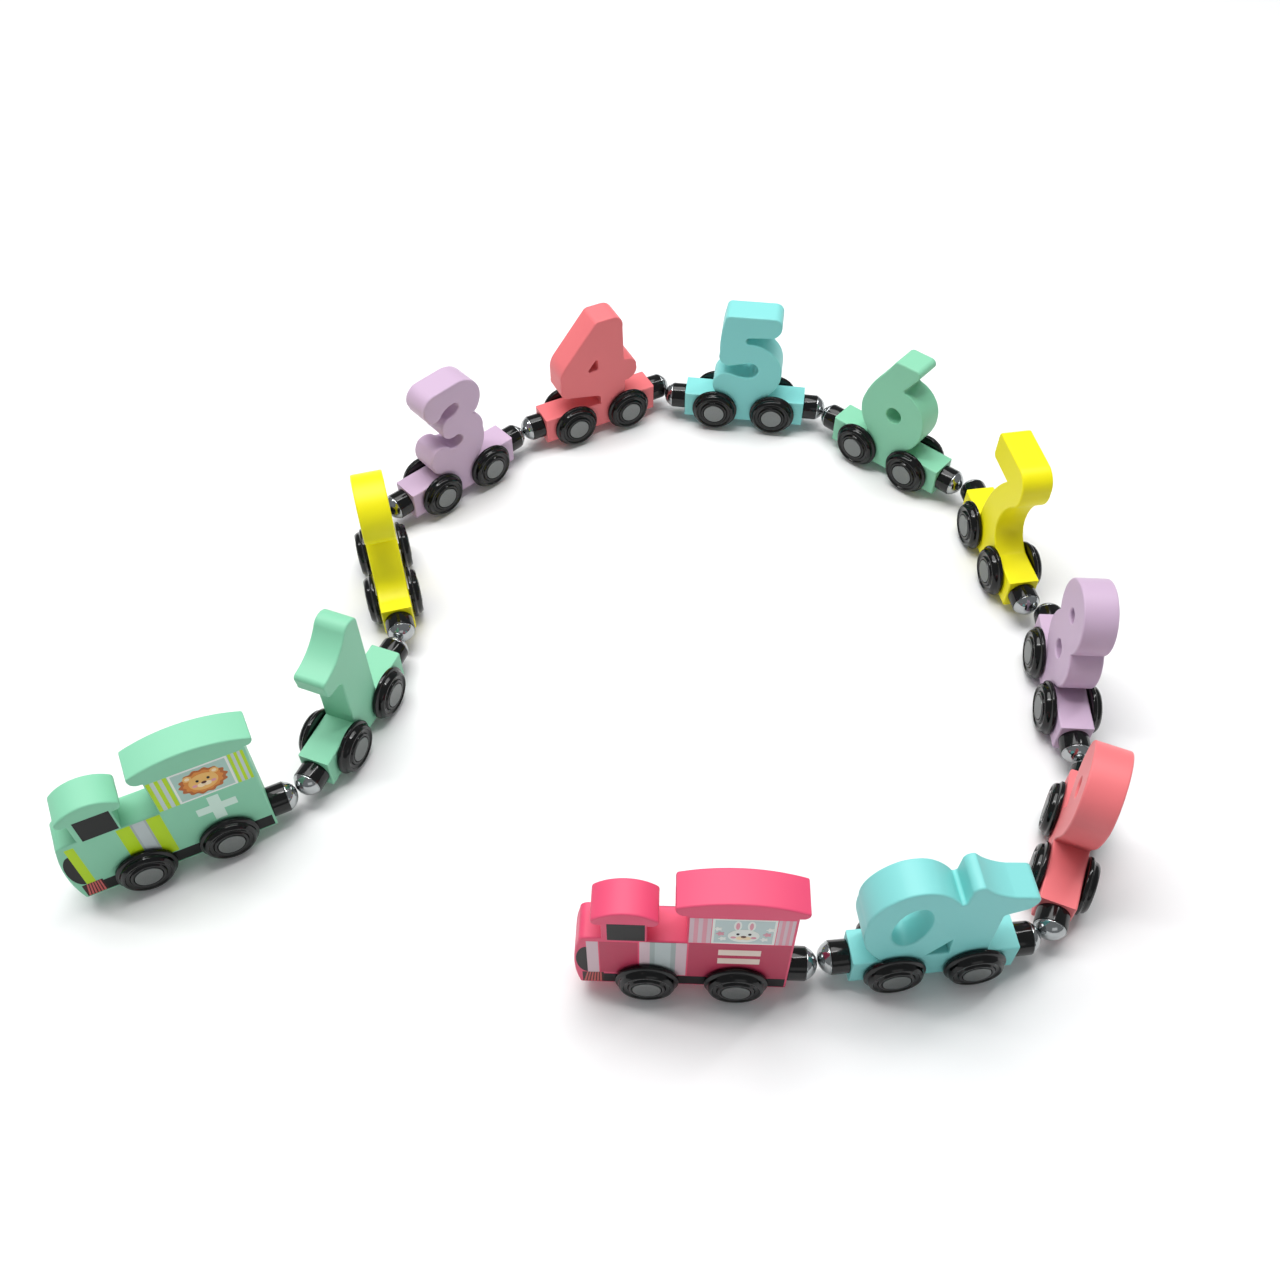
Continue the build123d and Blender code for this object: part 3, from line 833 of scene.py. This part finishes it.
pink_print = shared + [
    ("raspberry", bar(-35.1, 1.8, 14.2, 42.2), 1), ("raspberry", bar(20.2, 34.2, 15.6, 41.0), 1),
    ("ash", bar(34.6, 38.9, 15.2, 41.0), 1), ("ash", bar(2.4, 19.6, HOOD_LOW, 41.8), 1),
    ("silver", bar(6.4, 8.2, HOOD_LOW, 41.8), 2), ("grey", bar(8.2, 14.0, HOOD_LOW, 41.8), 2),
    ("silver", bar(14.0, 15.8, HOOD_LOW, 41.8), 2),
    ("white", bar(-28.6, -6.0, CARD_LOW, CARD_HIGH), 1), ("mist", bar(-27.7, -6.9, 43.7, 61.1), 2),
    ("cream", bar(-24.5, -9.0, 33.2, 37.6), 2), ("cream", bar(-24.5, -9.0, 26.2, 30.6), 2),
] + card_stripes(("ash", "rose", "ash", "rose", "ash")) + one_layer_up(rabbit(-17.3, 51.6))
print("printed shapes on a side:", len(mint_print), "and", len(pink_print))

# %% [markdown]
# The plates of all the shapes on one engine go in one mesh, both sides together, with one
# material for each ink. A plate runs from the wood's skin up to its own layer's height, so its
# edge closes it all round.

# %% Print both sides of both engines
FILM = 0.03 * MM  # one layer of print


def print_sides(name, shapes):
    """Thin plates for each printed shape, on both sides of a board."""
    work = bmesh.new()
    used = sorted({ink for ink, shape, layer in shapes})
    for side in (-1, 1):
        for ink, shape, layer in shapes:
            skin = side * half_board
            top = side * (half_board + layer * FILM)
            low = [work.verts.new((x * MM, skin, z * MM)) for x, z in shape]
            high = [work.verts.new((x * MM, top, z * MM)) for x, z in shape]
            faces = [work.faces.new(low), work.faces.new(high)]
            for k in range(len(shape)):
                after = (k + 1) % len(shape)
                faces.append(work.faces.new([low[k], low[after], high[after], high[k]]))
            for face in faces:
                face.material_index = used.index(ink)
    bmesh.ops.recalc_face_normals(work, faces=work.faces)
    mesh = bpy.data.meshes.new(name)
    work.to_mesh(mesh)
    work.free()
    for ink in used:
        mesh.materials.append(inks[ink])
    return mesh


for name, shapes in (("mint_engine", mint_print), ("pink_engine", pink_print)):
    mesh = print_sides(f"{name}_prints", shapes)
    remember_board_places(mesh)
    mesh.transform(vehicles[name]["stand"])
    prints = link(bpy.data.objects.new(f"{name}_prints", mesh))
    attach(prints, name)
    print(prints.name, len(mesh.polygons), "faces")

# %% [markdown]
# ## Floor, light and camera
#
# A toy like this is shown on a plain pale sheet under soft light from above. One wide panel
# overhead makes the tops brighter than the sides. Two long thin lamps beside it draw the narrow
# streaks that glossy wheels and cups show, a weak one in front opens the shadows, and an even
# pale sky fills the rest. The camera looks down at about fifty degrees.

# %% Lay the floor
FLOOR_HALF = 6.0  # metres, so that its edge stays out of sight
floor_material, floor_tree = new_material("pale_sheet")
sheet_place = add(floor_tree, "ShaderNodeTexCoord").outputs["Object"]
sheet_tone = add(floor_tree, "ShaderNodeTexNoise", {
    "Vector": sheet_place, "Scale": 3.0, "Detail": 2.0})
sheet_mix = add(floor_tree, "ShaderNodeMix", {
    0: sheet_tone.outputs["Fac"], 6: linear("#F1F1F1"), 7: linear("#F6F6F6")}, data_type="RGBA")
sheet_shader = add(floor_tree, "ShaderNodeBsdfPrincipled", {
    "Base Color": sheet_mix.outputs[2], "Roughness": 0.85})
add(floor_tree, "ShaderNodeOutputMaterial", {"Surface": sheet_shader.outputs[0]})
floor_mesh = bpy.data.meshes.new("pale_sheet")
floor_mesh.from_pydata([(x * FLOOR_HALF, y * FLOOR_HALF, 0) for x, y in ((-1, -1), (1, -1), (1, 1), (-1, 1))],
                       [], [(0, 1, 2, 3)])
floor_mesh.materials.append(floor_material)
floor = link(bpy.data.objects.new("pale_sheet", floor_mesh))
print("floor is", 2 * FLOOR_HALF, "m wide")


# %% Hang the lamps and the sky
def soft_lamp(name, place, length, width, watts, target=(0, 0, 0)):
    """A rectangular area lamp of those sizes in metres, facing a target."""
    light = bpy.data.lights.new(name, "AREA")
    light.shape = "RECTANGLE"
    light.size = length
    light.size_y = width
    light.energy = watts
    lamp = link(bpy.data.objects.new(name, light))
    lamp.location = place
    lamp.rotation_euler = (Vector(target) - Vector(place)).to_track_quat("-Z", "Y").to_euler()
    return lamp


lamps = [
    soft_lamp("overhead_panel", (-0.2, 0.45, 1.5), 1.2, 0.9, 17),
    soft_lamp("left_tube", (-0.5, 0.1, 1.3), 0.08, 1.3, 6),
    soft_lamp("right_tube", (0.45, 0.3, 1.4), 0.08, 1.3, 6),
    soft_lamp("front_fill", (0.4, -1.7, 0.8), 1.0, 0.6, 1.2, target=(0, 0, 0.03)),
]
world = bpy.data.worlds.new("even_sky")
world.use_nodes = True
world.node_tree.nodes.clear()
sky = add(world.node_tree, "ShaderNodeBackground", {"Color": linear("#F4F7FA"), "Strength": 0.33})
add(world.node_tree, "ShaderNodeOutputWorld", {"Surface": sky.outputs[0]})
bpy.context.scene.world = world
bpy.context.scene.view_settings.view_transform = "Standard"
print("lamps:", ", ".join(lamp.name for lamp in lamps))

# %% Set up the camera
LOOK_AT = Vector((12.96, 1.67, 0)) * MM
LOOK_DOWN = math.radians(51.0)
DISTANCE = 584.25 * MM
camera_data = bpy.data.cameras.new("camera")
camera_data.sensor_width = 36.0
camera_data.lens = 34.69
camera = link(bpy.data.objects.new("camera", camera_data))
camera.location = LOOK_AT + DISTANCE * Vector((0, -math.cos(LOOK_DOWN), math.sin(LOOK_DOWN)))
camera.rotation_euler = (math.pi / 2 - LOOK_DOWN, 0, 0)
bpy.context.scene.camera = camera
print("camera stands at, mm:", [round(value / MM) for value in camera.location])
